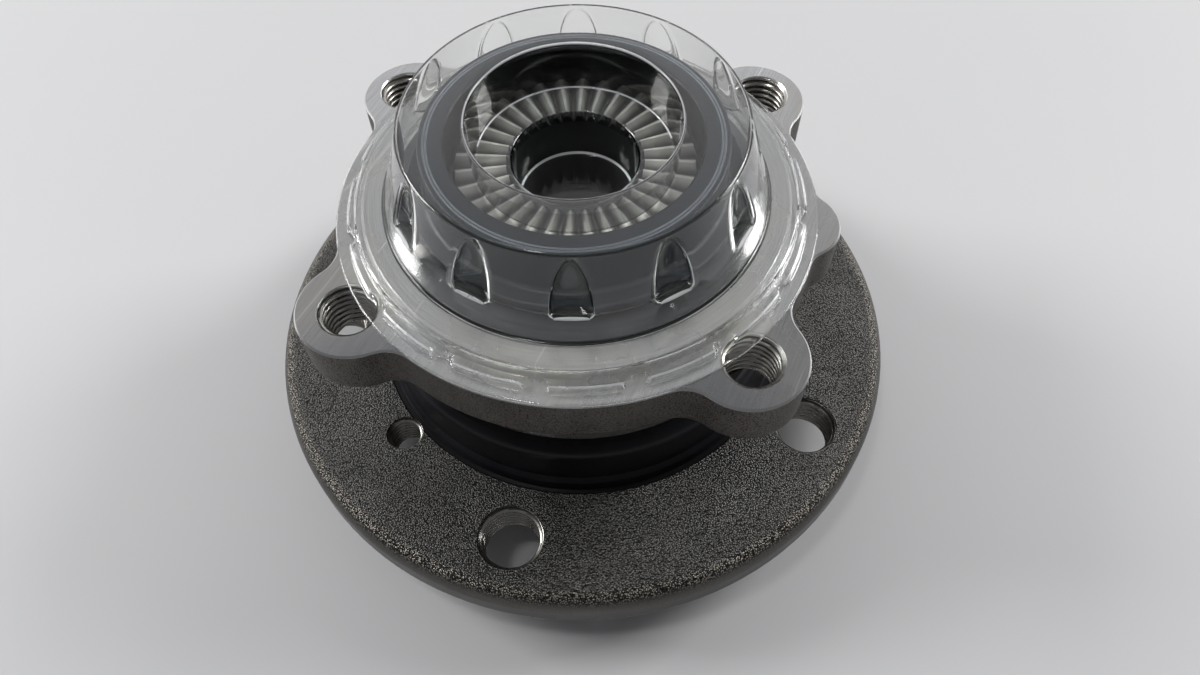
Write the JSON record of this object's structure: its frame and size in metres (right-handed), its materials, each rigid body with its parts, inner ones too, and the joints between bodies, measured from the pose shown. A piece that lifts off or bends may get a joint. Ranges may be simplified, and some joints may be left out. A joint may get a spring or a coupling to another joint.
{
  "type": "wheel hub",
  "caption": "Driven wheel hub: double-row ball bearing unit with wheel flange, eared knuckle flange, face splines and clear transport cap.",
  "frame": {"origin": "on the turning axis, at the foot of the wheel spigot", "axes": "+Z along the turning axis, from the wheel side up to the knuckle side"},
  "size_m": [0.1466, 0.1466, 0.086],
  "materials": {
    "forged_steel": "shot-blasted forging",
    "ground_steel": "fine ground face",
    "bearing_steel": "ground",
    "ball_steel": "lapped",
    "seal_steel": "stamped sheet",
    "black_rubber": "glossy moulded",
    "magnet_rubber": "satin",
    "seal_ring_black": "satin moulded",
    "cage_polymer": "moulded",
    "clear_plastic": "clear thermoformed"
  },
  "bodies": {
    "outer_ring": {"outer_ring": "ground_steel", "outboard_seal_case": "seal_steel", "outboard_seal": "black_rubber", "inboard_seal_case": "seal_steel", "inboard_seal_lips": "black_rubber"},
    "hub": {"hub_flange": "forged_steel", "inner_ring": "bearing_steel", "encoder_carrier": "seal_steel", "encoder_ring": "magnet_rubber", "spline_seal": "seal_ring_black"},
    "outboard_cage": {"outboard_cage": "cage_polymer", "outboard_ball_01": "ball_steel", "outboard_ball_02": "ball_steel", "outboard_ball_03": "ball_steel", "outboard_ball_04": "ball_steel", "outboard_ball_05": "ball_steel", "outboard_ball_06": "ball_steel", "outboard_ball_07": "ball_steel", "outboard_ball_08": "ball_steel", "outboard_ball_09": "ball_steel", "outboard_ball_10": "ball_steel", "outboard_ball_11": "ball_steel", "outboard_ball_12": "ball_steel", "outboard_ball_13": "ball_steel", "outboard_ball_14": "ball_steel", "outboard_ball_15": "ball_steel"},
    "inboard_cage": {"inboard_cage": "cage_polymer", "inboard_ball_01": "ball_steel", "inboard_ball_02": "ball_steel", "inboard_ball_03": "ball_steel", "inboard_ball_04": "ball_steel", "inboard_ball_05": "ball_steel", "inboard_ball_06": "ball_steel", "inboard_ball_07": "ball_steel", "inboard_ball_08": "ball_steel", "inboard_ball_09": "ball_steel", "inboard_ball_10": "ball_steel", "inboard_ball_11": "ball_steel", "inboard_ball_12": "ball_steel", "inboard_ball_13": "ball_steel", "inboard_ball_14": "ball_steel", "inboard_ball_15": "ball_steel"},
    "transport_cap": {"transport_cap": "clear_plastic"}
  },
  "joints": [
    {"name": "hub_spin", "type": "hinge", "parent": "outer_ring", "child": "hub", "pos_m": [0, 0, 0.037], "axis": [0, 0, 1], "continuous": true},
    {"name": "outboard_cage_spin", "type": "hinge", "parent": "outer_ring", "child": "outboard_cage", "pos_m": [0, 0, 0.037], "axis": [0, 0, 1], "continuous": true},
    {"name": "inboard_cage_spin", "type": "hinge", "parent": "outer_ring", "child": "inboard_cage", "pos_m": [0, 0, 0.0555], "axis": [0, 0, 1], "continuous": true},
    {"name": "cap_lift", "type": "slide", "parent": "outer_ring", "child": "transport_cap", "axis": [0, 0, 1], "range_m": [0, 0.06]}
  ],
  "couplings": [
    {"joint": "outboard_cage_spin", "follows": "hub_spin", "ratio": 0.4355},
    {"joint": "inboard_cage_spin", "follows": "hub_spin", "ratio": 0.4355}
  ]
}
